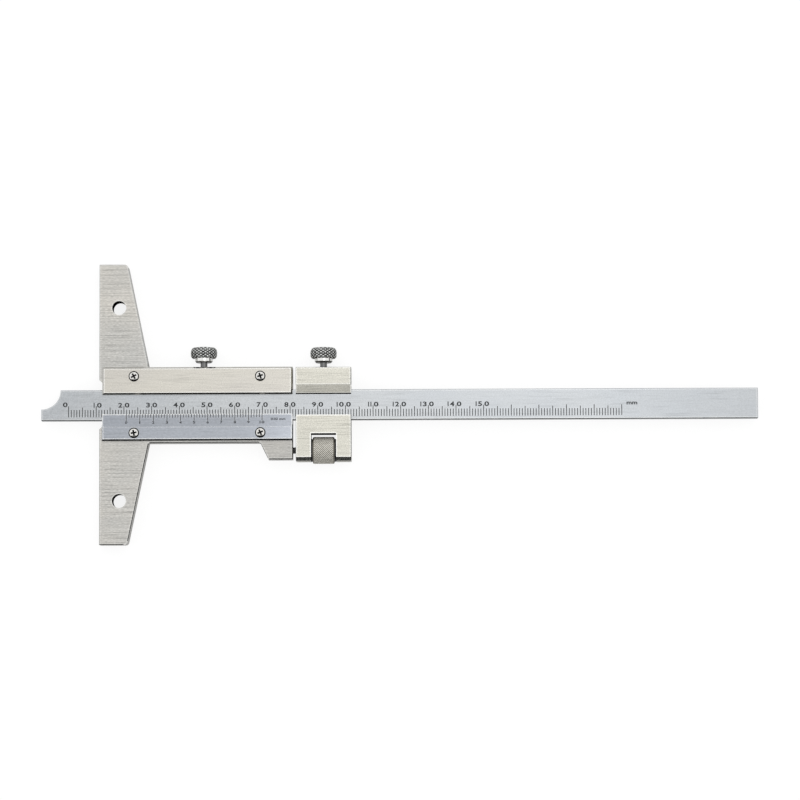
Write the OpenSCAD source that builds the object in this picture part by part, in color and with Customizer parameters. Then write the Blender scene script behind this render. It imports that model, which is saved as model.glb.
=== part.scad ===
// Vernier depth gauge with fine adjustment, lying on its back.
// X runs along the blade away from the datum face, Y across it, Z up from the back.

/* [Blade] */
// Length of the measuring blade
blade_l = 259.2; // [235:0.1:300]
// Width of the blade
blade_w = 11; // [9:0.5:12]
// Thickness of the blade
blade_t = 3.8; // [3.2:0.1:4]
// Radius of the concave cut at the blade's tip
tip_notch_r = 6.9; // [4:0.1:8]
// Depth that the gauge is set to
reading = 20.9; // [0:0.1:40]

/* [Scale] */
// Distance of the zero line from the blade's tip
zero_x = 9.8; // [8:0.1:14]
// Distance between two lines of the main scale
division = 1; // [0.5:0.5:1]
// Number of divisions on the main scale
divisions = 200; // [150:10:210]
// Number of divisions on the vernier
vernier_divisions = 50; // [20:10:50]
// Width of an engraved line
line_w = 0.16; // [0.1:0.02:0.2]
// Depth of an engraved line
line_d = 0.05; // [0.03:0.01:0.1]
// Length of the shortest line on the main scale
line_l = 2.65; // [2:0.05:3]
// How much longer every fifth line is
fifth_line_extra = 0.9; // [0.5:0.1:1.2]
// How much longer every tenth line is
tenth_line_extra = 1.35; // [0.8:0.05:1.8]
// Distance of the main scale's lines from the blade's lower edge
line_margin = 1.2; // [0.8:0.1:1.6]
// Length of the vernier's short lines
vernier_line_l = 1.4; // [1:0.1:2]

/* [Base] */
// Length of the measuring base, across the blade
base_l = 101.6; // [90:0.1:150]
// Thickness of the base and the slider
base_t = 7; // [6.6:0.1:7.6]
// Width of a wing at its tip
wing_tip_w = 10.1; // [9:0.1:13]
// Width of a wing at the slider
wing_root_w = 17.8; // [15:0.1:24]
// Rounding of the wings' rear corners
wing_corner_r = 1.2; // [0.5:0.1:2.5]
// How far the base's middle lies above the blade's middle
base_shift = 0.4; // [0:0.1:1]
// Diameter of the holes for extension bases
hole_d = 5; // [3:0.5:6]
// Distance between the holes for extension bases
hole_pitch = 70; // [60:1:80]
// Distance of these holes from the datum face
hole_x = 7.1; // [6:0.1:8]
// Depth of the clearance cut around the blade in the datum face
relief_d = 1.2; // [0.6:0.1:2]
// Room below the blade in this cut
relief_room = 1.9; // [1:0.1:3]
// Bevel on the edges of the base and the slider
body_bevel = 0.25; // [0.1:0.05:0.4]

/* [Slider] */
// Length of the slider along the blade
slider_l = 69.8; // [66:0.2:80]
// Distance of the slider's upper edge from the blade's middle
slider_top = 13.7; // [13:0.1:16]
// Distance of the slider's lower edge from the blade's middle
slider_bottom = 13.6; // [12.8:0.1:16]
// Length of the feed screw's lug along its lower edge
lug_l = 8.8; // [7:0.1:12]
// Length of the lug's slope
lug_slope = 3; // [1:0.1:5]
// How far the lug reaches below the slider
lug_drop = 6.1; // [5:0.1:8]

/* [Plates] */
// Thickness of the cover plate and the vernier plate
plate_t = 1.5; // [1.2:0.1:2]
// Bevel on the plates' edges
plate_bevel = 0.55; // [0.3:0.05:0.7]
// How far the cover plate laps over the blade
cover_lap = 1.7; // [1:0.1:2.2]
// How far the vernier plate laps over the blade
vernier_lap = 2.25; // [1.5:0.05:2.8]
// Width of the vernier's sloping face
vernier_slope_w = 4.8; // [3.5:0.1:5.5]
// Thickness of the vernier plate at its scale edge
vernier_edge_t = 0.3; // [0.2:0.05:0.6]
// How far the vernier plate stays from the slider's lower edge
vernier_inset = 0.65; // [0.3:0.05:1.5]
// Distance of the vernier plate from the datum face
vernier_start = 1.1; // [0.3:0.1:2]

/* [Plate screws] */
// Diameter of a screw head
screw_head_d = 3.8; // [3:0.1:4.4]
// Height of a screw head
screw_head_h = 1.1; // [0.8:0.1:1.4]
// Thread diameter of the screws
screw_d = 2; // [1.6:0.2:2.5]
// Length of a screw under its head
screw_l = 5; // [3:0.5:6.5]
// Distance of the left screws from the datum face
screw_x = 12.6; // [9:0.1:20]
// Distance of the right screws from the slider's rear end
screw_end = 11.6; // [9:0.1:14]
// Distance of the cover plate's screws from the blade's middle
cover_screw_y = 10.35; // [10.2:0.05:11.2]
// Distance of the vernier plate's screws from the blade's middle
vernier_screw_y = 10.15; // [10:0.05:10.5]

/* [Gibs] */
// Room above the blade for a gib
gib_room = 2.5; // [2.2:0.1:2.8]
// Thickness of a gib
gib_t = 1.6; // [1.3:0.1:1.7]
// Play between a gib and the blade, at rest
gib_play = 0.15; // [0.13:0.01:0.2]
// Thread diameter of the gib's set screws
set_screw_d = 2.5; // [2:0.1:3]
// How deep a set screw's end is sunk
set_screw_sunk = 0.6; // [0.2:0.1:1]
// Distance of the left set screw from the datum face
set_screw_x = 20; // [18:0.5:26]
// Distance of the right set screw from the slider's rear end
set_screw_end = 17.8; // [16:0.1:22]

/* [Clamp screws] */
// Diameter of a clamp knob
knob_d = 9.6; // [8:0.1:10]
// Height of a clamp knob
knob_h = 3.9; // [3.5:0.1:6]
// Diameter of the collar under the knob
collar_d = 6.4; // [5:0.1:6.8]
// Height of the collar
collar_h = 1.6; // [1:0.1:2]
// Bevel under the collar
collar_bevel = 0.5; // [0.2:0.1:0.8]
// Thread diameter of the clamp screws
clamp_d = 2.5; // [2:0.1:3]
// Bare length between the collar and the block
clamp_lift = 1.75; // [1:0.05:4]
// Distance of the slider's clamp screw from the slider's rear end
clamp_end = 32.1; // [28:0.1:36]

/* [Fine adjustment] */
// Length of the carriage along the blade
carriage_l = 20; // [18:0.5:26]
// Gap between the slider and the carriage
carriage_gap = 1.2; // [1.1:0.1:3]
// Height of the carriage's front face
carriage_t = 8.8; // [8.5:0.1:9.4]
// Distance of the carriage's upper edge from the blade's middle
carriage_top = 13.5; // [12.8:0.1:15]
// Distance of the carriage's lower edge from the blade's middle
carriage_bottom = 20.4; // [19:0.1:22]
// Bevel along the carriage's lower edge
carriage_bevel = 1.3; // [0.5:0.1:1.6]
// Width of the slope on the carriage's upper lip
lip_slope_w = 3.5; // [2:0.1:4.5]
// Thickness of that lip at its edge
lip_edge_t = 0.5; // [0.3:0.05:0.7]
// Bevel on that lip's edge
lip_bevel = 0.4; // [0.1:0.05:0.5]
// Diameter of the adjusting nut
nut_d = 9.8; // [8.6:0.1:10]
// Width of the nut's knurled rim
nut_w = 7.8; // [6:0.1:9]
// Room between the rim and each side of its notch
nut_side_room = 0.65; // [0.3:0.05:0.8]
// Distance of the feed screw from the blade's middle
feed_y = 16.5; // [16:0.1:18]
// Diameter of the feed screw
feed_d = 2.5; // [2:0.1:3]
// Length of the feed screw inside the lug
feed_hold = 8; // [6:0.2:9]
// Distance of the feed screw's free end from the slider
feed_reach = 19.2; // [17:0.2:20]

/* [Fits] */
// Gap between the blade and each face that guides it
slide_gap = 0.03; // [0.02:0.01:0.05]
// Gap around a shaft that turns or slides
run_gap = 0.06; // [0.03:0.01:0.1]
// Gap around a screw that stays put
seat_gap = 0.02; // [0.01:0.01:0.03]

/* [Hidden] */

$fn = 64;

// Overrun of every cut past the face that it leaves
cut_run = 0.5;
// Play of a part that floats in a hole or a pocket
loose_gap = 0.2;

// Levels
channel_h = blade_t + 2 * slide_gap;
channel_z = base_t - channel_h;
blade_z = channel_z + slide_gap;
axis_z = blade_z + blade_t / 2;
plate_top = base_t + plate_t;

// The blade and its channel
blade_x = -reading;
blade_edge = blade_w / 2;
channel_top = blade_edge + gib_room;
channel_bottom = -blade_edge - slide_gap;
vernier_x = blade_x + zero_x + reading;
blade_bevel = 0.22;
vernier_division = division * (vernier_divisions - 1) / vernier_divisions;
numeral_room = 1.2;

// Screws along the slider
plate_screw_xs = [screw_x, slider_l - screw_end];
set_screw_xs = [set_screw_x, slider_l - set_screw_end];
clamp_x = slider_l - clamp_end;

// The base
bevel_stop = 0.3;
wing_top = base_shift + base_l / 2;
wing_bottom = base_shift - base_l / 2;
relief_bottom = channel_bottom - relief_room;
corner_steps = 6;

// The carriage
carriage_x = slider_l + carriage_gap;
carriage_mid = carriage_x + carriage_l / 2;
notch_l = nut_w + 2 * nut_side_room;
nut_room = 1.1;
notch_top = -feed_y + nut_d / 2 + nut_room;
nut_hub_d = 8.4;
nut_hub_gap = 0.05;
edge_bevel = 0.2;

// The gibs
gib_bottom = blade_edge + gib_play;
gib_top = gib_bottom + gib_t;
gib_h = blade_t - 2 * slide_gap;
gib_end_room = 0.8;
dimple_depth = gib_t / 2;
dog_share = 0.64;
dog_d = clamp_d * dog_share;
set_dog_d = set_screw_d * dog_share;
dog_reach = dimple_depth - loose_gap;

// Screw details
// How far each plate screw's cross is turned
cross_turns = [28, 19, 11, 24];
recess_w_share = 0.17;
recess_l_share = 0.56;
recess_d_share = 0.6;
slot_w_share = 0.22;
slot_d_share = 0.3;
spigot_share = 0.6;
knob_top_share = 0.28;
knob_foot_share = 0.2;
thread_room = 0.6;

// Cuts a bevel of width c along the edge from a to b, with the solid on its left
module edge_bevel_cut(a, b, z, c, run_a = 0, run_b = 0) {
    along = b - a;
    translate([a.x, a.y, z]) rotate(atan2(along.y, along.x)) translate([-run_a, 0, 0])
        rotate([90, 0, 90]) linear_extrude(norm(along) + run_a + run_b)
            polygon([[-cut_run, -c - cut_run], [c + cut_run, cut_run], [-cut_run, cut_run]]);
}

// Bevels the edges of an outline whose corners all turn outwards, at level z
module outline_bevels(points, z, c) {
    n = len(points);
    for (i = [0:n - 1]) edge_bevel_cut(points[i], points[(i + 1) % n], z, c, cut_run, cut_run);
}

// A rectangle's corners, anticlockwise
function corners(low, high) = [low, [high.x, low.y], high, [low.x, high.y]];

// A shaft along Y from y_low to y_high
module shaft_y(x, y_low, y_high, d) {
    translate([x, y_high, axis_z]) rotate([90, 0, 0]) cylinder(h = y_high - y_low, d = d);
}

// A shaft along X on the feed screw's axis
module feed_shaft(x_low, x_high, d) {
    translate([x_low, -feed_y, axis_z]) rotate([0, 90, 0]) cylinder(h = x_high - x_low, d = d);
}

// A block from one corner to the other
module block(low, high) {
    translate(low) cube(high - low);
}

// The channel that the blade and a gib lie in, along X
module blade_channel(x_low, x_high) {
    block([x_low, channel_bottom, channel_z], [x_high, channel_top, base_t]);
}

// The rounded rear corner of the upper wing (side 1) or the lower one (side -1), from the tip
function wing_corner(side, root_y, tip_y) =
    let (
        lean = atan2(wing_root_w - wing_tip_w, abs(tip_y - root_y)),
        centre_x = wing_tip_w + wing_corner_r * (tan(lean) - 1 / cos(lean)),
        centre_y = tip_y - side * wing_corner_r
    )
    [for (step = [0:corner_steps]) let (a = step / corner_steps * (90 - lean))
        [centre_x + wing_corner_r * sin(a), centre_y + side * wing_corner_r * cos(a)]];

function reversed(list) = [for (i = [len(list) - 1:-1:0]) list[i]];

// The outline of the base's wings, the slider and the feed screw's lug, anticlockwise
function body_points() =
    let (lug_x = slider_l - lug_l, lug_bottom = -slider_bottom - lug_drop)
    concat(
        [[0, wing_bottom]],
        wing_corner(-1, -slider_bottom, wing_bottom),
        [
            [wing_root_w, -slider_bottom], [lug_x - lug_slope, -slider_bottom],
            [lug_x, lug_bottom], [slider_l, lug_bottom],
            [slider_l, slider_top], [wing_root_w, slider_top]
        ],
        reversed(wing_corner(1, slider_top, wing_top)),
        [[0, wing_top]]
    );

// Bevels the straight edges of that outline, stopping before each corner that isn't square
module body_bevels() {
    lug_x = slider_l - lug_l;
    lug_bottom = -slider_bottom - lug_drop;
    low = wing_corner(-1, -slider_bottom, wing_bottom);
    high = wing_corner(1, slider_top, wing_top);
    edges = [
        [[0, wing_top], [0, wing_bottom], cut_run, cut_run],
        [[0, wing_bottom], low[0], cut_run, -bevel_stop],
        [low[corner_steps], [wing_root_w, -slider_bottom], -bevel_stop, -bevel_stop],
        [[wing_root_w, -slider_bottom], [lug_x - lug_slope, -slider_bottom], -bevel_stop, -bevel_stop],
        [[lug_x - lug_slope, -slider_bottom], [lug_x, lug_bottom], -bevel_stop, -bevel_stop],
        [[lug_x, lug_bottom], [slider_l, lug_bottom], -bevel_stop, cut_run],
        [[slider_l, lug_bottom], [slider_l, slider_top], cut_run, cut_run],
        [[slider_l, slider_top], [wing_root_w, slider_top], cut_run, -bevel_stop],
        [[wing_root_w, slider_top], high[corner_steps], -bevel_stop, -bevel_stop],
        [high[0], [0, wing_top], -bevel_stop, cut_run]
    ];
    for (edge = edges) edge_bevel_cut(edge[0], edge[1], base_t, body_bevel, edge[2], edge[3]);
}

// The clearance cut around the blade, right through the base
module datum_relief() {
    translate([0, 0, -cut_run]) linear_extrude(base_t + 2 * cut_run) polygon([
        [relief_d, channel_top], [-cut_run, channel_top + relief_d + cut_run],
        [-cut_run, relief_bottom - relief_d - cut_run], [relief_d, relief_bottom]
    ]);
}

module slider_body() {
    color("silver") difference() {
        linear_extrude(base_t) polygon(body_points());
        blade_channel(-cut_run, slider_l + cut_run);
        datum_relief();
        body_bevels();
        for (side = [-1, 1])
            translate([hole_x, base_shift + side * hole_pitch / 2, -cut_run])
                cylinder(h = base_t + 2 * cut_run, d = hole_d);
        for (x = plate_screw_xs, y = [cover_screw_y, -vernier_screw_y])
            translate([x, y, plate_top - screw_l - thread_room])
                cylinder(h = screw_l + thread_room, d = screw_d + 2 * seat_gap);
        for (x = set_screw_xs)
            shaft_y(x, blade_edge, slider_top + cut_run, set_screw_d + 2 * seat_gap);
        shaft_y(clamp_x, blade_edge, slider_top + cut_run, clamp_d + 2 * run_gap);
        feed_shaft(slider_l - feed_hold - thread_room, slider_l + cut_run, feed_d + 2 * seat_gap);
        shaft_y(slider_l - feed_hold / 2, -slider_bottom - lug_drop - cut_run, -feed_y,
            screw_d + 2 * seat_gap);
    }
}

module cover_plate() {
    low = [relief_d, blade_edge - cover_lap];
    high = [slider_l, slider_top];
    color("gainsboro") difference() {
        block([low.x, low.y, base_t], [high.x, high.y, plate_top]);
        outline_bevels(corners(low, high), plate_top, plate_bevel);
        screw_holes(cover_screw_y);
    }
}

// Clearance holes for a plate's two screws
module screw_holes(y) {
    for (x = plate_screw_xs) translate([x, y, base_t - cut_run])
        cylinder(h = plate_t + 2 * cut_run, d = screw_d + 2 * loose_gap);
}

module vernier_plate() {
    scale_edge = -blade_edge + vernier_lap;
    low = [vernier_start, vernier_inset - slider_bottom];
    high = [slider_l, scale_edge];
    color("lightsteelblue") difference() {
        translate([low.x, 0, 0]) rotate([90, 0, 90]) linear_extrude(high.x - low.x) polygon([
            [low.y, base_t], [scale_edge, base_t], [scale_edge, base_t + vernier_edge_t],
            [scale_edge - vernier_slope_w, plate_top], [low.y, plate_top]
        ]);
        edge_bevel_cut(low, [high.x, low.y], plate_top, plate_bevel, cut_run, cut_run);
        edge_bevel_cut([high.x, low.y], high, plate_top, body_bevel, cut_run, cut_run);
        edge_bevel_cut([low.x, high.y], low, plate_top, body_bevel, cut_run, cut_run);
        screw_holes(-vernier_screw_y);
        vernier_lines();
    }
}

// The vernier's lines, cut square into its sloping face
module vernier_lines() {
    rise = plate_t - vernier_edge_t;
    slope = atan2(rise, vernier_slope_w);
    translate([vernier_x, -blade_edge + vernier_lap, base_t + vernier_edge_t]) rotate([-slope, 0, 0])
        for (i = [0:vernier_divisions]) {
            long = i % 5 == 0 ? numeral_room : 0;
            block([i * vernier_division - line_w / 2, -vernier_line_l - long, -line_d],
                [i * vernier_division + line_w / 2, cut_run, cut_run]);
        }
}

// The blade's lines, every fifth and tenth one longer
module main_lines() {
    for (i = [0:divisions]) {
        extra = i % 10 == 0 ? tenth_line_extra : i % 5 == 0 ? fifth_line_extra : 0;
        x = blade_x + zero_x + i * division;
        block([x - line_w / 2, -blade_edge + line_margin, blade_z + blade_t - line_d],
            [x + line_w / 2, -blade_edge + line_margin + line_l + extra, blade_z + blade_t + cut_run]);
    }
}

module blade() {
    top_z = blade_z + blade_t;
    low = [blade_x, -blade_edge];
    high = [blade_x + blade_l, blade_edge];
    color("lightsteelblue") difference() {
        block([low.x, low.y, blade_z], [high.x, high.y, top_z]);
        translate([low.x, high.y, blade_z - cut_run])
            cylinder(h = blade_t + 2 * cut_run, r = tip_notch_r, $fn = 96);
        outline_bevels(corners(low, high), top_z, blade_bevel);
        main_lines();
    }
}

// A gib with a dimple for each screw that presses on it
module gib(x_low, x_high, dimples) {
    difference() {
        block([x_low, gib_bottom, axis_z - gib_h / 2], [x_high, gib_top, axis_z + gib_h / 2]);
        for (dimple = dimples)
            shaft_y(dimple.x, gib_top - dimple_depth, gib_top + cut_run, dimple.y + 2 * loose_gap);
    }
}

module slider_gib() {
    color("goldenrod") gib(relief_d + gib_end_room, slider_l - gib_end_room, [
        [set_screw_xs[0], set_dog_d], [clamp_x, dog_d], [set_screw_xs[1], set_dog_d]
    ]);
}

module carriage_gib() {
    color("goldenrod") gib(carriage_x + gib_end_room, carriage_x + carriage_l - gib_end_room,
        [[carriage_mid, dog_d]]);
}

// A slotted set screw in the slider's upper edge, its dog standing in the gib's dimple
module gib_set_screw(x) {
    tip_y = gib_top + gib_play;
    end_y = slider_top - set_screw_sunk;
    slot_w = set_screw_d * slot_w_share;
    color("dimgray") difference() {
        union() {
            shaft_y(x, tip_y, end_y, set_screw_d);
            shaft_y(x, gib_top - dog_reach + gib_play, tip_y + seat_gap, set_dog_d);
        }
        translate([x - slot_w / 2, end_y - set_screw_d * slot_d_share, axis_z - set_screw_d])
            cube([slot_w, set_screw_d, 2 * set_screw_d]);
    }
}

// A pan-head screw with a cross recess, its head on a plate
module plate_screw(x, y, turn) {
    head_r = screw_head_d / 2;
    rim_h = screw_head_h / 8;
    dome_h = screw_head_h - rim_h;
    dome_r = (head_r * head_r + dome_h * dome_h) / (2 * dome_h);
    recess_w = screw_head_d * recess_w_share;
    recess_l = screw_head_d * recess_l_share;
    recess_d = screw_head_h * recess_d_share;
    color("white") translate([x, y, plate_top]) difference() {
        union() {
            rotate_extrude() intersection() {
                translate([0, screw_head_h - dome_r]) circle(r = dome_r, $fn = 128);
                square([head_r, screw_head_h]);
            }
            translate([0, 0, -screw_l]) cylinder(h = screw_l + rim_h, d = screw_d);
        }
        for (a = [turn, turn + 90]) rotate(a)
            translate([-recess_l / 2, -recess_w / 2, screw_head_h - recess_d])
                cube([recess_l, recess_w, screw_head_h]);
    }
}

// A clamp screw: collar, bare neck, threaded part and the dog that stands in the gib
module clamp_screw(x, block_top) {
    neck_top = block_top + clamp_lift;
    color("white") {
        shaft_y(x, gib_top + seat_gap, neck_top + collar_h + knob_h * spigot_share, clamp_d);
        shaft_y(x, gib_top - dog_reach, gib_top + 2 * seat_gap, dog_d);
        translate([x, neck_top, axis_z]) rotate([-90, 0, 0]) rotate_extrude() polygon([
            [0, 0], [collar_d / 2 - collar_bevel, 0], [collar_d / 2, collar_bevel],
            [collar_d / 2, collar_h], [0, collar_h]
        ]);
    }
}

// The dark knob pressed on a clamp screw's collar
module clamp_knob(x, block_top) {
    foot_y = block_top + clamp_lift + collar_h;
    knob_r = knob_d / 2;
    top_round = knob_r * knob_top_share;
    foot_round = knob_r * knob_foot_share;
    bore_r = clamp_d / 2 + seat_gap;
    bore_h = knob_h * spigot_share + seat_gap;
    color("dimgray") translate([x, foot_y, axis_z]) rotate([-90, 0, 0]) rotate_extrude()
        polygon(concat(
            [[0, bore_h], [bore_r, bore_h], [bore_r, 0], [knob_r - foot_round, 0]],
            [for (a = [15:15:90]) [
                knob_r - foot_round + foot_round * sin(a), foot_round - foot_round * cos(a)]],
            [for (a = [0:15:90]) [
                knob_r - top_round + top_round * cos(a), knob_h - top_round + top_round * sin(a)]],
            [[0, knob_h]]
        ));
}

module slider_clamp_screw() { clamp_screw(clamp_x, slider_top); }
module slider_clamp_knob() { clamp_knob(clamp_x, slider_top); }
module carriage_clamp_screw() { clamp_screw(carriage_mid, carriage_top); }
module carriage_clamp_knob() { clamp_knob(carriage_mid, carriage_top); }

// The carriage: one block with the blade's channel, a sloping upper lip, and the nut's notch
module carriage_body() {
    low = [carriage_x, -carriage_bottom];
    high = [carriage_x + carriage_l, carriage_top];
    lip_low = blade_edge - cover_lap;
    lip_high = lip_low + lip_slope_w;
    lower_lip = -blade_edge + cover_lap;
    leg_x = carriage_mid - notch_l / 2;
    color("ivory") difference() {
        block([low.x, low.y, 0], [high.x, high.y, carriage_t]);
        blade_channel(low.x - cut_run, high.x + cut_run);
        // The window between the lips, with the upper one's slope
        translate([low.x - cut_run, 0, 0]) rotate([90, 0, 90])
            linear_extrude(carriage_l + 2 * cut_run) polygon([
                [lower_lip, base_t - cut_run], [lip_low, base_t - cut_run],
                [lip_low, base_t + lip_edge_t - lip_bevel], [lip_low + lip_bevel, base_t + lip_edge_t],
                [lip_high, carriage_t],
                [lip_high, carriage_t + cut_run], [lower_lip, carriage_t + cut_run]
            ]);
        translate([leg_x, low.y - cut_run, -cut_run])
            cube([notch_l, notch_top - low.y + cut_run, carriage_t + 2 * cut_run]);
        edge_bevel_cut(low, [high.x, low.y], carriage_t, carriage_bevel, cut_run, cut_run);
        edge_bevel_cut([high.x, low.y], high, carriage_t, edge_bevel, cut_run, cut_run);
        edge_bevel_cut(high, [low.x, high.y], carriage_t, edge_bevel, cut_run, cut_run);
        edge_bevel_cut([low.x, high.y], low, carriage_t, edge_bevel, cut_run, cut_run);
        feed_shaft(low.x - cut_run, high.x + cut_run, feed_d + 2 * run_gap);
        shaft_y(carriage_mid, blade_edge, high.y + cut_run, clamp_d + 2 * run_gap);
    }
}

module feed_screw() {
    end_x = slider_l + feed_reach;
    slot_w = feed_d * slot_w_share;
    color("dimgray") difference() {
        feed_shaft(slider_l - feed_hold, end_x, feed_d);
        translate([end_x - feed_d * slot_d_share, -feed_y - feed_d, axis_z - slot_w / 2])
            cube([feed_d, 2 * feed_d, slot_w]);
    }
}

module feed_screw_lock() {
    x = slider_l - feed_hold / 2;
    foot_y = -slider_bottom - lug_drop + seat_gap;
    slot_w = screw_d * slot_w_share;
    color("dimgray") difference() {
        shaft_y(x, foot_y, -feed_y - feed_d / 2 - seat_gap, screw_d);
        translate([x - slot_w / 2, foot_y - screw_d + screw_d * slot_d_share, axis_z - screw_d])
            cube([slot_w, screw_d, 2 * screw_d]);
    }
}

module adjusting_nut() {
    rim_x = carriage_mid - nut_w / 2;
    hub_x = carriage_mid - notch_l / 2 + nut_hub_gap;
    hub_end = carriage_mid + notch_l / 2 - nut_hub_gap;
    rim_bevel = 0.3;
    color("darkgray") difference() {
        union() {
            feed_shaft(rim_x + rim_bevel, rim_x + nut_w - rim_bevel, nut_d);
            feed_shaft(rim_x, rim_x + nut_w, nut_d - 2 * rim_bevel);
            feed_shaft(hub_x, hub_end, nut_hub_d);
        }
        feed_shaft(hub_x - cut_run, hub_end + cut_run, feed_d + 2 * run_gap);
    }
}

slider_body();
cover_plate();
vernier_plate();
plate_screw(plate_screw_xs[0], cover_screw_y, cross_turns[0]);  // cover_plate_screw_left
plate_screw(plate_screw_xs[1], cover_screw_y, cross_turns[1]);  // cover_plate_screw_right
plate_screw(plate_screw_xs[0], -vernier_screw_y, cross_turns[2]);  // vernier_plate_screw_left
plate_screw(plate_screw_xs[1], -vernier_screw_y, cross_turns[3]);  // vernier_plate_screw_right
slider_gib();
gib_set_screw(set_screw_xs[0]);  // gib_set_screw_left
gib_set_screw(set_screw_xs[1]);  // gib_set_screw_right
slider_clamp_screw();
slider_clamp_knob();
blade();
feed_screw();
feed_screw_lock();
adjusting_nut();
carriage_body();
carriage_gib();
carriage_clamp_screw();
carriage_clamp_knob();
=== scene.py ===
import math

import bmesh
import bpy
from mathutils import Matrix, Vector


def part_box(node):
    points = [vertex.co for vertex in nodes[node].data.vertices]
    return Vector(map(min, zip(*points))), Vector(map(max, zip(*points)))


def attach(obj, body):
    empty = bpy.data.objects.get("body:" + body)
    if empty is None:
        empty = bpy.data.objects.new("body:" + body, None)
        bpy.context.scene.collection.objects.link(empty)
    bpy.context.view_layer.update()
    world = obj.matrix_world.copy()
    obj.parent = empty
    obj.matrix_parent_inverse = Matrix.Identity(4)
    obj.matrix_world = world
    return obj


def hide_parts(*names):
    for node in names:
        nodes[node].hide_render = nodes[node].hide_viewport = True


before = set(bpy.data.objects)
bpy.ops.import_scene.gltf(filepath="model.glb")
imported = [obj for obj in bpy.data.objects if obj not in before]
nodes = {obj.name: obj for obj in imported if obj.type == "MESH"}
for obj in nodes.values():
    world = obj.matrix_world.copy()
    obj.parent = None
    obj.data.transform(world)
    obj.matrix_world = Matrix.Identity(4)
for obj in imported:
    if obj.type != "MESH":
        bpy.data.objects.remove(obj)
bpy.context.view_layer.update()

MM = 0.001

# Sizes and places that the looks share with the part, in millimetres
BLADE_TOP = 6.97
PLATE_TOP = 8.5
SCREW_AXIS_Z = 5.07
CLAMP_X = 37.7
NUT_X = 81.0
FEED_Y = -16.5
HOLE_X, HOLE_Y, HOLE_PITCH = 7.1, 0.4, 70
HEAD_H = 1.1
HEAD_DOME_R = 2.357
PLATE_SCREWS = {
    "cover_plate_screw_left": (12.6, 10.35),
    "cover_plate_screw_right": (58.2, 10.35),
    "vernier_plate_screw_left": (12.6, -10.15),
    "vernier_plate_screw_right": (58.2, -10.15),
}
SCALE_ZERO_X = -11.1
VERNIER_ZERO_X = 9.8
VERNIER_STEP = 0.98
VERNIER_EDGE_Y = -3.25
VERNIER_EDGE_Z = 7.3
VERNIER_SLOPE = math.atan2(1.2, 4.8)
THREAD_PITCH = 0.45

# The mesh layer that tells the tips of a knurl from its grooves
RELIEF = "relief"


# Shader nodes

def add(tree, kind, inputs=None, **settings):
    """A new node with its settings and unlinked inputs."""
    node = tree.nodes.new(kind)
    for key, value in settings.items():
        setattr(node, key, value)
    for key, value in (inputs or {}).items():
        node.inputs[key].default_value = value
    return node


def metal(name, roughness, metallic=1.0):
    """A new material, its node tree and its Principled shader."""
    material = bpy.data.materials.new(name)
    material.use_nodes = True
    tree = material.node_tree
    principled = tree.nodes["Principled BSDF"]
    principled.inputs["Metallic"].default_value = metallic
    principled.inputs["Roughness"].default_value = roughness
    return material, tree, principled


def empty_tree(owner):
    """Node tree of a material or world, with nothing in it yet."""
    owner.use_nodes = True
    owner.node_tree.nodes.clear()
    return owner.node_tree


def grey(tone):
    """A colour with three equal parts."""
    return (tone,) * 3


def grain(tree, size_mm, detail=1.5, shift=0.0):
    """Noise on Object coordinates, its marks about size_mm (x, y, z) large."""
    coordinates = add(tree, "ShaderNodeTexCoord")
    mapping = add(tree, "ShaderNodeMapping", {
        "Scale": [1 / (size * MM) for size in size_mm], "Location": (shift, shift, shift)})
    texture = add(tree, "ShaderNodeTexNoise", {"Scale": 1.0, "Detail": detail, "Roughness": 0.5})
    tree.links.new(coordinates.outputs["Object"], mapping.inputs["Vector"])
    tree.links.new(mapping.outputs["Vector"], texture.inputs["Vector"])
    return texture.outputs["Fac"]


def ramp(tree, value, low, high, low_at=0.3, high_at=0.7):
    """Turns a value into a colour between two tones."""
    node = add(tree, "ShaderNodeValToRGB")
    first, last = node.color_ramp.elements
    first.position, last.position = low_at, high_at
    first.color = (*low, 1)
    last.color = (*high, 1)
    tree.links.new(value, node.inputs["Fac"])
    return node.outputs["Color"]


def spread(tree, value, low, high, low_at=0.3, high_at=0.7):
    """Maps a value to the range from low to high."""
    node = add(tree, "ShaderNodeMapRange", {
        "From Min": low_at, "From Max": high_at, "To Min": low, "To Max": high})
    tree.links.new(value, node.inputs["Value"])
    return node.outputs["Result"]


def maths(tree, operation, *values):
    """A Math node on one or two values, each a number or a socket."""
    node = add(tree, "ShaderNodeMath", operation=operation)
    for value, socket in zip(values, node.inputs):
        if isinstance(value, (int, float)):
            socket.default_value = value
        else:
            tree.links.new(value, socket)
    return node.outputs["Value"]


def product(tree, *shares):
    """All the shares multiplied, so 1 only where each of them is."""
    result = shares[0]
    for share in shares[1:]:
        result = maths(tree, "MULTIPLY", result, share)
    return result


def blend(tree, factor, first, second, kind="MIX"):
    """A Mix node on two colours or two numbers, each given as a value or a socket."""
    colours = kind != "FLOAT"
    node = add(tree, "ShaderNodeMix", data_type="RGBA" if colours else "FLOAT")
    if colours:
        node.blend_type = kind
    for name, value in (("Factor", factor), ("A", first), ("B", second)):
        socket = next(i for i in node.inputs if i.name == name and i.enabled)
        if isinstance(value, bpy.types.NodeSocket):
            tree.links.new(value, socket)
        elif isinstance(value, tuple):
            socket.default_value = (*value, 1)
        else:
            socket.default_value = value
    return next(o for o in node.outputs if o.enabled)


def tinted(tree, colour, tint):
    """One colour times another."""
    return blend(tree, 1.0, colour, tint, "MULTIPLY")


def where(tree, axis, source="Object"):
    """One part of the place on the piece, in metres, or with source Normal of where its face looks."""
    coordinates = add(tree, "ShaderNodeTexCoord")
    axes = add(tree, "ShaderNodeSeparateXYZ")
    tree.links.new(coordinates.outputs[source], axes.inputs["Vector"])
    return axes.outputs[axis]


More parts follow.
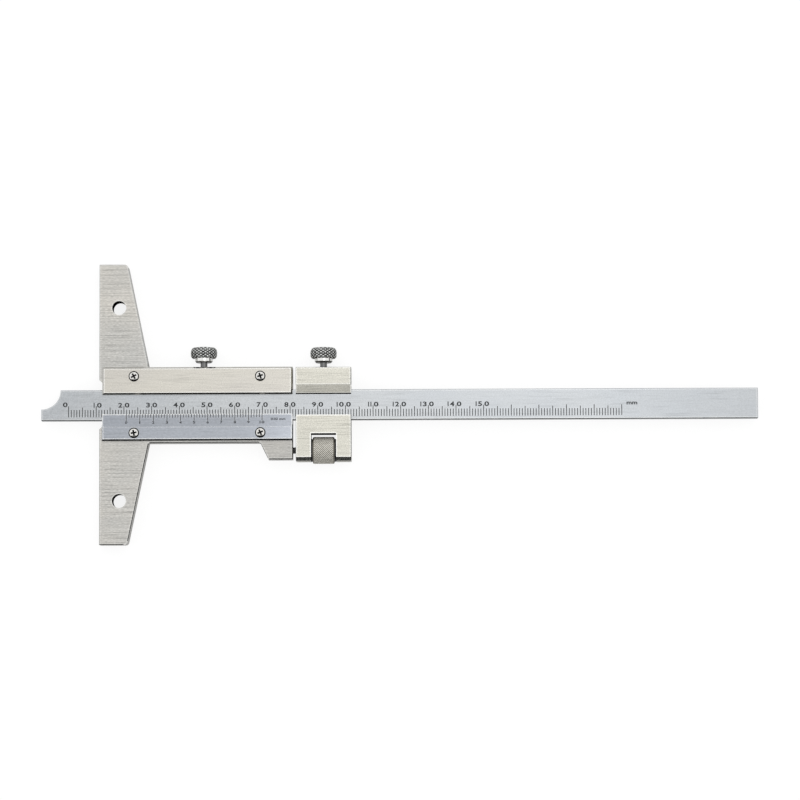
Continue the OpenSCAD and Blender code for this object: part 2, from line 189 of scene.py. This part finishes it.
def offset(tree, axis, centre_mm):
    """How far along one axis a place lies from a centre, in metres."""
    return maths(tree, "SUBTRACT", where(tree, axis), centre_mm * MM)


def square(tree, value):
    return maths(tree, "POWER", value, 2.0)


def steepness(tree):
    """The shares of bevels and of upright walls, from the piece's own normals."""
    level = maths(tree, "ABSOLUTE", where(tree, "Z", "Normal"))
    wall = spread(tree, level, 1.0, 0.0, 0.25, 0.35)
    sloping = spread(tree, level, 1.0, 0.0, 0.84, 0.9)
    return maths(tree, "SUBTRACT", sloping, wall), wall


def worn_edges(tree):
    """1 on the sharp edges of a piece, where a highlight is painted."""
    rounded_normal = add(tree, "ShaderNodeBevel", {"Radius": 0.8 * MM}, samples=4)
    flat_normal = add(tree, "ShaderNodeNewGeometry")
    match = add(tree, "ShaderNodeVectorMath", operation="DOT_PRODUCT")
    tree.links.new(rounded_normal.outputs["Normal"], match.inputs[0])
    tree.links.new(flat_normal.outputs["Normal"], match.inputs[1])
    return spread(tree, match.outputs["Value"], 1.0, 0.0, 0.965, 0.995)


def add_bump(tree, principled, height, strength, depth_mm):
    """Raises the surface by a pattern."""
    bump = add(tree, "ShaderNodeBump", {"Strength": strength, "Distance": depth_mm * MM})
    tree.links.new(height, bump.inputs["Height"])
    tree.links.new(bump.outputs["Normal"], principled.inputs["Normal"])


# Painted shade: where a finish is painted dark, 1 inside, 0 outside

NOTCH_REACH = 4.65  # half of the nut's notch and a little more
NOTCH_TOP_Y = -10.0
HUB_START = 3.92  # from the middle of the nut to the side of its rim
NECK_TOP_Y = 15.85
HOLE_REACH = 2.7  # radius of an extension hole and a little more
RECESS_START = 0.07  # below the dome of a head
HEAD_FOOT_H = 0.54


def beside_nut(tree):
    """How far from the middle of the nut, on both sides of it."""
    return maths(tree, "ABSOLUTE", offset(tree, "X", NUT_X))


def in_notch(tree, wall):
    """Painted shade on the walls of the nut's notch and under the lip's lower edge."""
    near = maths(tree, "LESS_THAN", beside_nut(tree), NOTCH_REACH * MM)
    low = maths(tree, "LESS_THAN", where(tree, "Y"), NOTCH_TOP_Y * MM)
    looks_down = maths(tree, "LESS_THAN", where(tree, "Y", "Normal"), -0.55)
    high = maths(tree, "GREATER_THAN", where(tree, "Y"), 0.0)
    return maths(tree, "MAXIMUM", product(tree, near, low, wall), product(tree, looks_down, high))


def in_holes(tree, wall):
    """Painted shade on the walls of the two holes for extension bases."""
    beside = offset(tree, "X", HOLE_X)
    off_centre = maths(tree, "ABSOLUTE", offset(tree, "Y", HOLE_Y))
    along = maths(tree, "SUBTRACT", off_centre, HOLE_PITCH / 2 * MM)
    reach = maths(tree, "ADD", square(tree, beside), square(tree, along))
    return product(tree, maths(tree, "LESS_THAN", reach, (HOLE_REACH * MM) ** 2), wall)


def on_hubs(tree):
    """Painted shade on the nut's plain hubs on both sides of its rim, which darkens the gaps beside it."""
    return maths(tree, "GREATER_THAN", beside_nut(tree), HUB_START * MM)


def on_necks(tree):
    """Painted shade on the clamp screws below their collars, under the knobs."""
    return maths(tree, "LESS_THAN", where(tree, "Y"), NECK_TOP_Y * MM)


def in_recess(x, y):
    """Painted shade in the cross recess of the pan head at that place, and a ring of painted shade at the
    foot of the head.
    """
    def dark(tree):
        reach = maths(tree, "ADD", square(tree, offset(tree, "X", x)), square(tree, offset(tree, "Y", y)))
        left = maths(tree, "MAXIMUM", maths(tree, "SUBTRACT", (HEAD_DOME_R * MM) ** 2, reach), 0.0)
        dome_centre = PLATE_TOP + HEAD_H - HEAD_DOME_R
        surface = maths(tree, "ADD", maths(tree, "SQRT", left), (dome_centre - RECESS_START) * MM)
        sunk = maths(tree, "LESS_THAN", where(tree, "Z"), surface)
        foot = maths(tree, "LESS_THAN", where(tree, "Z"), (PLATE_TOP + HEAD_FOOT_H) * MM)
        return maths(tree, "MAXIMUM", sunk, foot)
    return dark


# Finishes

def ground_finish(name, tone, other_tone, dash, dash_mm, streak, streak_mm,
                  roughness=0.36, bevel_roughness=0.09, highlight_and_ink_wear=0.9, fade=None, painted_shade_where=None):
    """Satin steel with a ground grain along X, polished bevels and a painted highlight along its edges.

    The grain has short dashes and, in patches, long dark streaks. A fade is painted shade along X:
    the places where it starts and ends, and what it leaves of the tone.
    """
    material, tree, principled = metal(name, roughness)
    links = tree.links
    clouds = grain(tree, (30, 18, 18), detail=3.0)
    dashes = grain(tree, dash_mm)
    streaks = grain(tree, streak_mm, detail=2.0, shift=7.0)
    colour = ramp(tree, clouds, tone, other_tone)
    colour = tinted(tree, colour, ramp(tree, dashes, grey(1 - dash), grey(1 + dash), 0.25, 0.75))
    patches = spread(tree, grain(tree, (9, 5, 5), shift=3.0), 0.35, 1.0, 0.4, 0.6)
    streaked = ramp(tree, streaks, grey(1 - 1.5 * streak), grey(1 + 0.25 * streak), 0.28, 0.52)
    colour = blend(tree, patches, colour, tinted(tree, colour, streaked))
    # Painted shade: between two places along X the tone darkens towards one end
    if fade:
        start, end, left = fade
        faded = spread(tree, where(tree, "X"), 0.0, 1.0, start * MM, end * MM)
        colour = tinted(tree, colour, ramp(tree, faded, grey(1), grey(left), 0, 1))
    bevel, wall = steepness(tree)
    # Painted highlight: a pale line along the sharp edges of the flats
    edge = product(tree, worn_edges(tree), maths(tree, "SUBTRACT", 1.0, bevel), highlight_and_ink_wear)
    colour = blend(tree, edge, colour, (0.95, 0.95, 0.93))
    # Painted light: the bevels get a paler tone than the flats. Painted shade: the upright walls get a
    # darker one
    colour = blend(tree, bevel, colour, tinted(tree, colour, (1.1, 1.12, 1.15)))
    colour = blend(tree, wall, colour, tinted(tree, colour, grey(0.85)))
    # Painted shade: nearly black and without gloss where the mask says
    if painted_shade_where:
        dark = painted_shade_where(tree, wall)
        colour = blend(tree, dark, colour, grey(0.01))
        links.new(spread(tree, dark, 1.0, 0.0, 0.0, 1.0), principled.inputs["Metallic"])
        links.new(spread(tree, dark, 0.5, 0.0, 0.0, 1.0), principled.inputs["Specular IOR Level"])
    links.new(colour, principled.inputs["Base Color"])
    rough = spread(tree, dashes, roughness - 0.05, roughness + 0.05)
    links.new(blend(tree, bevel, rough, bevel_roughness, "FLOAT"), principled.inputs["Roughness"])
    add_bump(tree, principled, dashes, 0.15, 0.03)
    return material


def fine_finish(name, low, high, roughness, size_mm=(0.5, 0.5, 0.5), bump=0.15,
                painted_shade_where=None, painted_shade_tone=0.012):
    """Metal with a fine even grain of two tones."""
    material, tree, principled = metal(name, roughness)
    marks = grain(tree, size_mm, detail=3.0)
    colour = ramp(tree, marks, low, high)
    # Painted shade where the mask says
    if painted_shade_where:
        colour = blend(tree, painted_shade_where(tree), colour, grey(painted_shade_tone))
    tree.links.new(colour, principled.inputs["Base Color"])
    rough = spread(tree, marks, max(roughness - 0.05, 0.02), roughness + 0.06)
    tree.links.new(rough, principled.inputs["Roughness"])
    add_bump(tree, principled, marks, bump, 0.01)
    return material


def knurled_finish(name, groove, flank, tip, roughness, metallic=1.0, painted_shade_where=None):
    """Knurled steel: painted shade in the grooves of the knurl and a painted highlight on its tips."""
    material, tree, principled = metal(name, roughness, metallic)
    relief = add(tree, "ShaderNodeAttribute", attribute_name=RELIEF).outputs["Fac"]
    marks = grain(tree, (0.25, 0.25, 0.25), detail=3.0)
    patches = grain(tree, (1.2, 0.5, 0.5), detail=2.0, shift=3.0)
    height = maths(tree, "ADD", relief, spread(tree, marks, -0.12, 0.12))
    height = maths(tree, "ADD", height, spread(tree, patches, -0.12, 0.12))
    # Painted shade in the grooves, a painted highlight on the tips
    colour = ramp(tree, height, groove, flank, 0.16, 0.36)
    colour = blend(tree, spread(tree, height, 0.0, 1.0, 0.35, 0.75), colour, tip)
    # Painted shade where the mask says
    if painted_shade_where:
        colour = blend(tree, painted_shade_where(tree), colour, grey(0.012))
    tree.links.new(colour, principled.inputs["Base Color"])
    rough = spread(tree, marks, roughness - 0.05, roughness + 0.08)
    tree.links.new(rough, principled.inputs["Roughness"])
    return material


def ink_finish():
    """Black filling of engraved lines and numerals, slightly worn."""
    material, tree, principled = metal("ink", 0.55, metallic=0.0)
    highlight_and_ink_wear = grain(tree, (0.4, 0.4, 0.4), detail=3.0)
    colour = ramp(tree, highlight_and_ink_wear, (0.008, 0.010, 0.012), (0.030, 0.034, 0.036))
    tree.links.new(colour, principled.inputs["Base Color"])
    return material


# The fades along X are painted shade, the edge highlights painted highlights, and the dark masks painted
# shade
ground_steel = ground_finish(
    "ground_steel", (0.525, 0.505, 0.465), (0.46, 0.455, 0.435),
    dash=0.24, dash_mm=(1.0, 0.25, 0.25), streak=0.36, streak_mm=(16.0, 0.28, 0.28),
    roughness=0.34, highlight_and_ink_wear=0.35, fade=(20, 66, 0.80), painted_shade_where=in_holes)
cover_steel = ground_finish(
    "cover_steel", (0.56, 0.54, 0.485), (0.53, 0.51, 0.47),
    dash=0.19, dash_mm=(0.4, 0.25, 0.25), streak=0.13, streak_mm=(9.0, 0.28, 0.28))
vernier_steel = ground_finish(
    "vernier_steel", (0.415, 0.44, 0.49), (0.44, 0.465, 0.505),
    dash=0.12, dash_mm=(0.8, 0.42, 0.42), streak=0.10, streak_mm=(12.0, 0.5, 0.5),
    fade=(69, 52, 0.79))
blade_steel = ground_finish(
    "blade_steel", (0.42, 0.44, 0.46), (0.45, 0.465, 0.475),
    dash=0.13, dash_mm=(0.42, 0.38, 0.38), streak=0.09, streak_mm=(10.0, 0.45, 0.45),
    roughness=0.33, highlight_and_ink_wear=0.5, fade=(180, 225, 0.94))
carriage_steel = ground_finish(
    "carriage_steel", (0.56, 0.545, 0.485), (0.52, 0.51, 0.455),
    dash=0.26, dash_mm=(0.45, 0.26, 0.26), streak=0.20, streak_mm=(12.0, 0.3, 0.3),
    bevel_roughness=0.2, painted_shade_where=in_notch)
screw_steel = fine_finish(
    "screw_steel", (0.78, 0.78, 0.76), (0.88, 0.88, 0.86), 0.12, bump=0.03,
    painted_shade_where=on_necks, painted_shade_tone=0.16)
oiled_steel = fine_finish(
    "oiled_steel", (0.10, 0.10, 0.10), (0.22, 0.22, 0.215), 0.25, size_mm=(0.3, 0.3, 0.3))
gib_bronze = fine_finish(
    "gib_bronze", (0.50, 0.36, 0.17), (0.60, 0.44, 0.22), 0.32, size_mm=(6.0, 0.5, 0.5))
# The groove colours are painted shade, the tip colours painted highlights
knob_steel = knurled_finish(
    "knob_steel", (0.006, 0.006, 0.006), (0.26, 0.265, 0.26), (0.92, 0.93, 0.91), 0.25)
nut_steel = knurled_finish(
    "nut_steel", (0.24, 0.225, 0.19), (0.60, 0.58, 0.52), (0.84, 0.82, 0.75), 0.5,
    metallic=0.35, painted_shade_where=on_hubs)
ink = ink_finish()

FINISHES = {
    "slider_body": ground_steel,
    "cover_plate": cover_steel,
    "vernier_plate": vernier_steel,
    "blade": blade_steel,
    "carriage_body": carriage_steel,
    "slider_gib": gib_bronze,
    "carriage_gib": gib_bronze,
    "slider_clamp_screw": screw_steel,
    "carriage_clamp_screw": screw_steel,
    "slider_clamp_knob": knob_steel,
    "carriage_clamp_knob": knob_steel,
    "gib_set_screw_left": oiled_steel,
    "gib_set_screw_right": oiled_steel,
    "feed_screw": oiled_steel,
    "feed_screw_lock": oiled_steel,
    "adjusting_nut": nut_steel,
}
for screw, place in PLATE_SCREWS.items():
    FINISHES[screw] = fine_finish(
        screw + "_steel", (0.72, 0.71, 0.68), (0.84, 0.83, 0.80), 0.12,
        size_mm=(0.4, 0.4, 0.4), bump=0.05, painted_shade_where=in_recess(*place))
for node_name, finish in FINISHES.items():
    mesh = nodes[node_name].data
    mesh.materials.clear()
    mesh.materials.append(finish)


# Meshes

def new_object(name, bm, material):
    """Makes an object from a mesh and puts it in the scene."""
    mesh = bpy.data.meshes.new(name)
    bm.to_mesh(mesh)
    bm.free()
    mesh.materials.append(material)
    made = bpy.data.objects.new(name, mesh)
    bpy.context.scene.collection.objects.link(made)
    return made


def finish_piece(name, bm, material, body):
    """Makes a piece from a mesh in millimetres, and says what it rides on."""
    bmesh.ops.scale(bm, vec=(MM, MM, MM), verts=bm.verts)
    for face in bm.faces:
        face.smooth = False
    piece = new_object(name, bm, material)
    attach(piece, body)
    return piece


def add_bar(bm, low, high, place=Matrix.Identity(4)):
    """A bar from one corner to the other, then put in its place."""
    low, high = Vector(low), Vector(high)
    made = bmesh.ops.create_cube(bm, size=1)["verts"]
    bmesh.ops.scale(bm, vec=high - low, verts=made)
    bmesh.ops.translate(bm, vec=(low + high) / 2, verts=made)
    bmesh.ops.transform(bm, matrix=place, verts=made)


def lettering(word, weight):
    """A word as solid letters, in the font's own size."""
    curve = bpy.data.curves.new("lettering", "FONT")
    curve.body = word
    curve.extrude = 0.5
    curve.offset = weight
    curve.resolution_u = 3
    text = bpy.data.objects.new("lettering", curve)
    bpy.context.scene.collection.objects.link(text)
    bpy.context.view_layer.update()
    mesh = bpy.data.meshes.new_from_object(text.evaluated_get(bpy.context.evaluated_depsgraph_get()))
    bpy.data.objects.remove(text)
    bpy.data.curves.remove(curve)
    letters = bmesh.new()
    letters.from_mesh(mesh)
    bpy.data.meshes.remove(mesh)
    bmesh.ops.remove_doubles(letters, verts=letters.verts, dist=1e-5)
    return letters


def add_word(bm, word, height, centre, place, width):
    """Flat lettering, as thin as ink, centred on a point of the face that place gives."""
    thickness = 0.012
    letters = lettering(word, weight=0.03)
    corners = [[f(v.co[axis] for v in letters.verts) for axis in range(3)] for f in (min, max)]
    low, high = Vector(corners[0]), Vector(corners[1])
    size = high - low
    bmesh.ops.translate(letters, vec=-(low + high) / 2, verts=letters.verts)
    bmesh.ops.scale(letters, vec=(width / size.x, height / size.y, thickness / size.z), verts=letters.verts)
    bmesh.ops.translate(letters, vec=(*centre, thickness / 4), verts=letters.verts)
    bmesh.ops.transform(letters, matrix=place, verts=letters.verts)
    placed = bpy.data.meshes.new("placed")
    letters.to_mesh(placed)
    letters.free()
    bm.from_mesh(placed)
    bpy.data.meshes.remove(placed)


def turned(outline, steps):
    """A closed solid, spun about Z from an outline of (radius, height)."""
    bm = bmesh.new()
    points = [bm.verts.new((r, 0, h)) for r, h in outline]
    edges = [bm.edges.new(pair) for pair in zip(points, points[1:])]
    bmesh.ops.spin(bm, geom=points + edges, cent=(0, 0, 0), axis=(0, 0, 1), angle=2 * math.pi,
                   steps=steps, use_merge=True)
    bmesh.ops.remove_doubles(bm, verts=bm.verts, dist=1e-4)
    bmesh.ops.recalc_face_normals(bm, faces=bm.faces)
    return bm


def rounded(centre_r, centre_h, radius, first, last, steps):
    """Points of an arc in an outline, angles in degrees from the outward direction."""
    angles = [math.radians(first + (last - first) * i / steps) for i in range(steps + 1)]
    return [(centre_r + radius * math.cos(a), centre_h + radius * math.sin(a)) for a in angles]


def knurl(bm, radius, low, high, height):
    """Raises a diamond knurl on the faces outside a radius and between two heights."""
    middles = {f: f.calc_center_median() for f in bm.faces}
    band = [f for f, at in middles.items() if at.to_2d().length > radius and low < at.z < high]
    inner = [e for e in bm.edges if len(e.link_faces) == 2 and all(f in band for f in e.link_faces)]
    centres = bmesh.ops.poke(bm, faces=band, offset=0)["verts"]
    bmesh.ops.dissolve_edges(bm, edges=inner, use_verts=False)
    diamonds = {f for v in centres for f in v.link_faces if len(f.verts) == 4}
    relief = bm.verts.layers.float.new(RELIEF)
    for tip in bmesh.ops.poke(bm, faces=list(diamonds), offset=height)["verts"]:
        tip[relief] = 1.0


# Scales: ink that fills engraved lines and stands just proud, so that it is seen

INK_PROUD = 0.008
GROOVE_D = 0.05

blade_face = Matrix.Translation((0, 0, BLADE_TOP))
# The vernier's sloping face: y runs up the slope to the scale edge, z out of the face
slope_face = (
    Matrix.Translation((VERNIER_ZERO_X, VERNIER_EDGE_Y, VERNIER_EDGE_Z))
    @ Matrix.Rotation(-VERNIER_SLOPE, 4, "X")
)


def add_line(bm, x, width, low, high, place):
    """One engraved line across a scale, from low to high."""
    add_bar(bm, (x - width / 2, low, -GROOVE_D), (x + width / 2, high, INK_PROUD), place)


LINES_FOOT_Y = -4.3
main_lines = bmesh.new()
for i in range(201):
    length = 4.0 if i % 10 == 0 else 3.55 if i % 5 == 0 else 2.65
    add_line(main_lines, SCALE_ZERO_X + i, 0.29, LINES_FOOT_Y, LINES_FOOT_Y + length, blade_face)
finish_piece("main_scale_lines", main_lines, ink, "blade")

vernier_lines = bmesh.new()
for i in range(51):
    length = 2.6 if i % 5 == 0 else 1.4
    add_line(vernier_lines, i * VERNIER_STEP, 0.25, -length, -0.02, slope_face)
finish_piece("vernier_lines", vernier_lines, ink, "slider")

# The last 0 of a numeral stands right of its line, the digits before it left of it
DIGIT_H = 1.75
DIGIT_Y = 0.05
DIGIT_GAP = 0.5
DIGIT_W = {"0": 1.72, "1": 0.36, "2": 1.45, "3": 1.45, "4": 1.6,
           "5": 1.45, "6": 1.5, "7": 1.5, "8": 1.5, "9": 1.5}
numerals = bmesh.new()
add_word(numerals, "0", DIGIT_H, (SCALE_ZERO_X - 1.18, DIGIT_Y + 0.2), blade_face, DIGIT_W["0"])
for tens in range(1, 16):
    line_x = SCALE_ZERO_X + 10 * tens
    add_word(numerals, "0", DIGIT_H, (line_x + 1.12, DIGIT_Y), blade_face, DIGIT_W["0"])
    right = line_x - 0.58
    for digit in reversed(str(tens)):
        wide = DIGIT_W[digit]
        add_word(numerals, digit, DIGIT_H, (right - wide / 2, DIGIT_Y), blade_face, wide)
        right -= wide + DIGIT_GAP
finish_piece("main_numerals", numerals, ink, "blade")

unit_mark = bmesh.new()
add_word(unit_mark, "mm", 1.05, (192.6, 0.1), blade_face, 3.9)
finish_piece("unit_mark", unit_mark, ink, "blade")

vernier_numerals = bmesh.new()
for i in range(11):
    width = 1.75 if i == 10 else 0.4 if i == 1 else 0.85
    add_word(vernier_numerals, str(i), 1.0, (5 * i * VERNIER_STEP, -3.2), slope_face, width)
finish_piece("vernier_numerals", vernier_numerals, ink, "slider")

value_mark = bmesh.new()
add_word(value_mark, "0.02 mm", 0.9, (64.6 - VERNIER_ZERO_X, -2.0), slope_face, 5.3)
finish_piece("vernier_value", value_mark, ink, "slider")


# Turned pieces, made about Z and laid along their axis

def clamp_knob(name, node, x, body):
    """The dark knob with its knurled rim and the bore for its screw."""
    foot_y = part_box(node)[0].y / MM
    height, top_round, foot_round = 3.9, 1.34, 0.96
    bore, bore_depth = 1.27, 2.36
    knurl_h = 0.3
    radius = 4.8 - knurl_h / 2
    outline = (
        [(0, bore_depth), (bore, bore_depth), (bore, 0)]
        + rounded(radius - foot_round, foot_round, foot_round, -90, -28, 1)
        + [(radius, 1.53)]
        + rounded(radius - top_round, height - top_round, top_round, 0, 90, 2)
        + [(0, height)]
    )
    bm = turned(outline, 18)
    knurl(bm, 3.4, 0.1, height - 0.05, knurl_h)
    place = Matrix.Translation((x, foot_y, SCREW_AXIS_Z)) @ Matrix.Rotation(math.radians(-90), 4, "X")
    bmesh.ops.transform(bm, matrix=place, verts=bm.verts)
    piece = finish_piece(name, bm, knob_steel, body)
    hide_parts(node)


clamp_knob("slider_knob_knurled", "slider_clamp_knob", CLAMP_X, "clamp")
clamp_knob("carriage_knob_knurled", "carriage_clamp_knob", NUT_X, "carriage_clamp")


def adjusting_nut():
    """The nut: a finely knurled rim between two plain hubs, bored for the feed screw."""
    rim, hub, bore = 4.9, 4.2, 1.31
    half, bevel, end = 3.9, 0.26, 4.5
    rows = 10
    outline = (
        [(bore, -end), (hub, -end), (hub, -half), (rim - bevel, -half)]
        + [(rim, -half + bevel + (2 * (half - bevel)) * i / rows) for i in range(rows + 1)]
        + [(rim - bevel, half), (hub, half), (hub, end), (bore, end), (bore, -end)]
    )
    bm = turned(outline, 40)
    knurl(bm, 4.8, -half + bevel, half - bevel, 0.09)
    # Brings the raised tips back to the rim's radius
    bmesh.ops.scale(bm, vec=(0.985, 0.985, 1), verts=bm.verts)
    place = Matrix.Translation((NUT_X, FEED_Y, SCREW_AXIS_Z)) @ Matrix.Rotation(math.radians(90), 4, "Y")
    bmesh.ops.transform(bm, matrix=place, verts=bm.verts)
    piece = finish_piece("adjusting_nut_knurled", bm, nut_steel, "nut")
    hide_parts("adjusting_nut")


adjusting_nut()


def feed_thread():
    """The feed screw with its thread, cut off square at both ends."""
    crest, root = 1.25, 0.98
    start, end = 61.8, 89.0
    steps = 20
    turns = math.ceil((end - start) / THREAD_PITCH) + 3
    bm = bmesh.new()
    ridge = [(root, 0), (crest, 0.19), (crest, 0.26), (root, THREAD_PITCH)]
    points = [bm.verts.new((start - 1.5 * THREAD_PITCH + h, 0, r)) for r, h in ridge]
    edges = [bm.edges.new(pair) for pair in zip(points, points[1:])]
    bmesh.ops.spin(bm, geom=points + edges, cent=(0, 0, 0), axis=(1, 0, 0), angle=2 * math.pi * turns,
                   steps=steps * turns, dvec=(THREAD_PITCH / steps, 0, 0))
    bmesh.ops.remove_doubles(bm, verts=bm.verts, dist=1e-3)
    for x, out in ((start, -1), (end, 1)):
        bmesh.ops.bisect_plane(bm, geom=bm.verts[:] + bm.edges[:] + bm.faces[:], plane_co=(x, 0, 0),
                               plane_no=(out, 0, 0), clear_outer=True)
        rim = [e for e in bm.edges if e.is_boundary and all(abs(v.co.x - x) < 1e-4 for v in e.verts)]
        bmesh.ops.contextual_create(bm, geom=rim)
    bmesh.ops.recalc_face_normals(bm, faces=bm.faces)
    bmesh.ops.translate(bm, vec=(0, FEED_Y, SCREW_AXIS_Z), verts=bm.verts)
    piece = finish_piece("feed_screw_threaded", bm, oiled_steel, "slider")
    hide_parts("feed_screw")


feed_thread()


# Stage, in metres

STAGE_X = 0.1
WHITE = (1, 1, 1, 1)


def floor():
    """A white floor under the part. It stays white to the camera and keeps a soft shadow."""
    material = bpy.data.materials.new("white_floor")
    tree = empty_tree(material)
    path = add(tree, "ShaderNodeLightPath")
    to_camera = path.outputs["Is Camera Ray"]
    in_metal = maths(tree, "MAXIMUM", path.outputs["Is Glossy Ray"], path.outputs["Is Transmission Ray"])
    share = maths(tree, "ADD", product(tree, to_camera, 0.86), product(tree, in_metal, 0.26))
    glow = add(tree, "ShaderNodeEmission", {"Color": WHITE})
    tree.links.new(share, glow.inputs["Strength"])
    white = add(tree, "ShaderNodeBsdfDiffuse")
    tree.links.new(ramp(tree, to_camera, grey(0.6), grey(0.2), 0, 1), white.inputs["Color"])
    both = add(tree, "ShaderNodeAddShader")
    tree.links.new(glow.outputs["Emission"], both.inputs[0])
    tree.links.new(white.outputs["BSDF"], both.inputs[1])
    out = add(tree, "ShaderNodeOutputMaterial")
    tree.links.new(both.outputs["Shader"], out.inputs["Surface"])
    bm = bmesh.new()
    bmesh.ops.create_grid(bm, x_segments=2, y_segments=2, size=3.0)
    bmesh.ops.translate(bm, vec=(STAGE_X, 0, -0.0002), verts=bm.verts)
    new_object("floor", bm, material)


floor()


def dark_screen(name, bm, low_at, high_at, tone, top_tone):
    """Out of the picture, something dark for the bevels to reflect. It is paler towards its top."""
    material = bpy.data.materials.new(name)
    tree = empty_tree(material)
    glow = add(tree, "ShaderNodeEmission", {"Color": WHITE})
    tree.links.new(spread(tree, where(tree, "Z"), tone, top_tone, low_at, high_at), glow.inputs["Strength"])
    out = add(tree, "ShaderNodeOutputMaterial")
    tree.links.new(glow.outputs["Emission"], out.inputs["Surface"])
    screen = new_object(name, bm, material)
    screen.visible_camera = False
    screen.visible_shadow = False
    return screen


def dark_card(name, side, height, tone, shift=0.0):
    """A low upright card beside the part. side turns it around the part, shift moves it sideways."""
    width, distance = 2.6, 1.2
    bm = bmesh.new()
    bmesh.ops.create_grid(bm, x_segments=1, y_segments=1, size=0.5)
    bmesh.ops.scale(bm, vec=(width, height, 1), verts=bm.verts)
    bmesh.ops.rotate(bm, cent=(0, 0, 0), matrix=Matrix.Rotation(math.radians(90), 3, "X"), verts=bm.verts)
    bmesh.ops.translate(bm, vec=(shift, distance, height / 2), verts=bm.verts)
    bmesh.ops.rotate(bm, cent=(0, 0, 0), matrix=Matrix.Rotation(math.radians(side), 3, "Z"), verts=bm.verts)
    bmesh.ops.translate(bm, vec=(STAGE_X, 0, 0), verts=bm.verts)
    dark_screen(name, bm, 0.5 * height, height, tone, max(tone, 0.5))


def dark_mat(name, low, high, tone):
    """A sheet lying on the floor, for what a bevel reflects just below the horizon."""
    bm = bmesh.new()
    add_bar(bm, (*low, 0.0), (*high, 0.002))
    dark_screen(name, bm, 0, 1, tone, tone).visible_diffuse = False


dark_card("card_below", 180, 1.0, 0.02)
dark_card("card_right", -90, 0.35, 0.02, shift=1.0)
dark_card("card_above", 0, 0.2, 0.6)
dark_mat("mat_below", (-1.2, -1.19), (1.3, -0.2), 0.02)
dark_mat("mat_right", (0.42, -0.2), (1.29, 0.2), 0.02)

# The sky is a little less bright where it only lights the floor
world = bpy.data.worlds.new("studio")
bpy.context.scene.world = world
tree = empty_tree(world)
path = add(tree, "ShaderNodeLightPath")
seen = maths(tree, "MAXIMUM", path.outputs["Is Camera Ray"], path.outputs["Is Glossy Ray"])
seen = maths(tree, "MAXIMUM", seen, path.outputs["Is Transmission Ray"])
sky = add(tree, "ShaderNodeBackground", {"Color": WHITE})
tree.links.new(spread(tree, seen, 0.85, 1.0, 0.0, 1.0), sky.inputs["Strength"])
out = add(tree, "ShaderNodeOutputWorld")
tree.links.new(sky.outputs["Background"], out.inputs["Surface"])

lamp = bpy.data.lights.new("softbox", "AREA")
lamp.shape = "RECTANGLE"
lamp.size, lamp.size_y = 0.35, 0.8
lamp.energy = 0.83
softbox = bpy.data.objects.new("softbox", lamp)
softbox.location = (0.2, 0.2, 1.0)
bpy.context.scene.collection.objects.link(softbox)

view = bpy.data.cameras.new("camera")
view.sensor_width = 36
view.lens = 144.02
view.shift_x, view.shift_y = -0.06, 0.1004
view.clip_start, view.clip_end = 0.01, 50
camera = bpy.data.objects.new("camera", view)
camera.location = (0.1130, -0.1047, 1.1603)
camera.rotation_euler = [math.radians(a) for a in (3.824, -0.620, -0.291)]
bpy.context.scene.collection.objects.link(camera)
bpy.context.scene.camera = camera
bpy.context.scene.view_settings.view_transform = "Standard"
